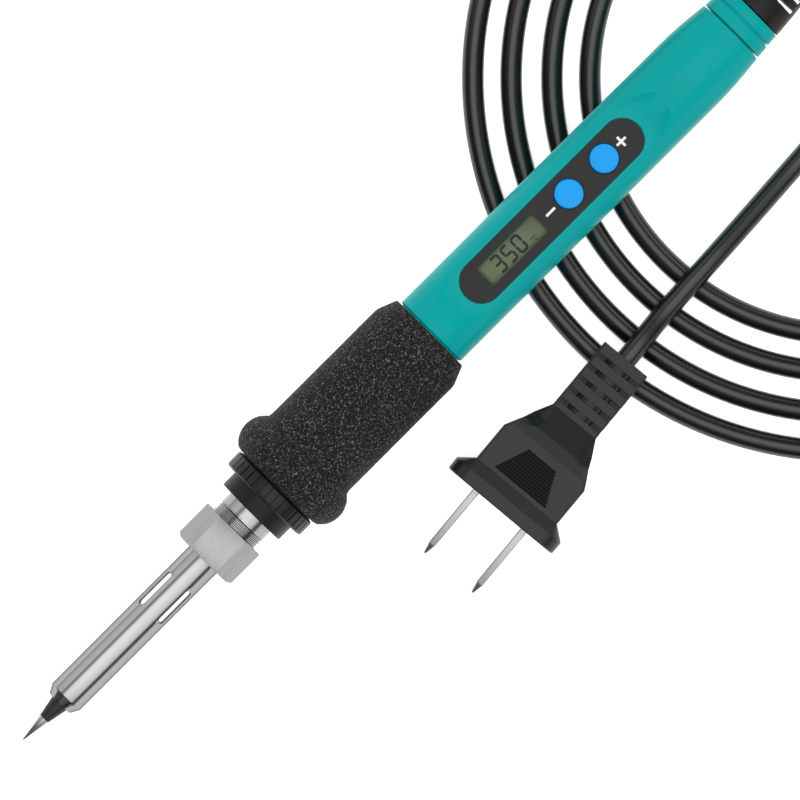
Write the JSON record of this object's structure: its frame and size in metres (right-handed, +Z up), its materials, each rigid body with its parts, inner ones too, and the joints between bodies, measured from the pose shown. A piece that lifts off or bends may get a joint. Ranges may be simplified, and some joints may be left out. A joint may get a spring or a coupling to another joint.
{
  "type": "soldering iron",
  "caption": "Temperature-controlled soldering iron with a replaceable tip, a slotted sleeve, a foam grip, a display and buttons in its handle, and a coiled mains cord with a plug.",
  "frame": {"origin": "on the surface that the iron lies on, under the middle of the iron's own length and width, without the cord and plug", "axes": "+X along the iron from its tip to its cord, +Z up out of the display and buttons, +Y to the left of someone who looks along +X"},
  "size_m": [0.2952, 0.1586, 0.027],
  "materials": {
    "tip": "tinned point on a dark plated cone",
    "ceramic": "unglazed ceramic",
    "polished_steel": "polished",
    "nickel": "nickel plated, fine turned lines",
    "black_plastic": "satin moulded nylon",
    "foam": "fine closed-cell foam",
    "teal_plastic": "semi-gloss moulded plastic",
    "charcoal_panel": "matt film overlay",
    "clear_lens": "clear",
    "display": "reflective olive liquid-crystal glass",
    "white_plastic": "plain",
    "blue_plastic": "satin",
    "amber_plastic": "dipped epoxy",
    "component_black": "moulded epoxy",
    "board": "solder mask",
    "red_sleeving": "plain",
    "blue_sleeving": "plain",
    "boot_rubber": "satin moulded rubber",
    "cord_rubber": "smooth vinyl sheath",
    "plug_plastic": "moulded vinyl"
  },
  "bodies": {
    "handle": {"heating_element": "ceramic", "heater_seat": "ceramic", "threaded_socket": "nickel", "front_collar": "black_plastic", "foam_grip": "foam", "handle_top_shell": "teal_plastic", "handle_bottom_shell": "teal_plastic", "tail_ring": "teal_plastic", "display_panel": "charcoal_panel", "display_lens": "clear_lens", "display_glass": "display", "display_frame": "white_plastic", "contact_strip": "cord_rubber", "plus_switch": "component_black", "minus_switch": "component_black", "main_board": "board", "microcontroller": "component_black", "triac": "component_black", "film_capacitor": "amber_plastic", "smoothing_capacitor": "blue_plastic", "dropper_resistor": "ceramic", "fuse_resistor": "ceramic", "heater_lead_1": "red_sleeving", "heater_lead_2": "red_sleeving", "sensor_lead_1": "blue_sleeving", "sensor_lead_2": "white_plastic", "live_core": "red_sleeving", "neutral_core": "blue_sleeving", "cord_clamp": "polished_steel", "cord_in_handle": "cord_rubber", "cord_boot": "boot_rubber", "cord_from_iron": "cord_rubber", "cord_coil": "cord_rubber", "cord_to_plug": "cord_rubber", "plug_body": "plug_plastic", "plug_blade_left": "nickel", "plug_blade_right": "nickel"},
    "sleeve": {"tip_sleeve": "polished_steel"},
    "nut": {"retaining_nut": "nickel"},
    "tip": {"soldering_tip": "tip"},
    "ring": {"ring_nut": "black_plastic"},
    "plus": {"plus_button": "blue_plastic", "plus_plunger": "white_plastic"},
    "minus": {"minus_button": "blue_plastic", "minus_plunger": "white_plastic"}
  },
  "joints": [
    {"name": "sleeve_pull", "type": "slide", "parent": "handle", "child": "sleeve", "axis": [-1, 0, 0], "range_m": [0, 0.118]},
    {"name": "nut_turn", "type": "hinge", "parent": "sleeve", "child": "nut", "pos_m": [-0.0653, 0, 0.0135], "axis": [1, 0, 0], "continuous": true},
    {"name": "tip_pull", "type": "slide", "parent": "handle", "child": "tip", "axis": [-1, 0, 0], "range_m": [0, 0.048]},
    {"name": "ring_nut_turn", "type": "hinge", "parent": "handle", "child": "ring", "pos_m": [-0.05, 0, 0.0135], "axis": [1, 0, 0], "continuous": true},
    {"name": "plus_press", "type": "slide", "parent": "handle", "child": "plus", "axis": [0, 0, -1], "range_m": [0, 0.0003], "stiffness_N_per_m": 1500},
    {"name": "minus_press", "type": "slide", "parent": "handle", "child": "minus", "axis": [0, 0, -1], "range_m": [0, 0.0003], "stiffness_N_per_m": 1500}
  ],
  "couplings": [
    {"joint": "tip_pull", "follows": "sleeve_pull", "ratio": 0.4}
  ]
}
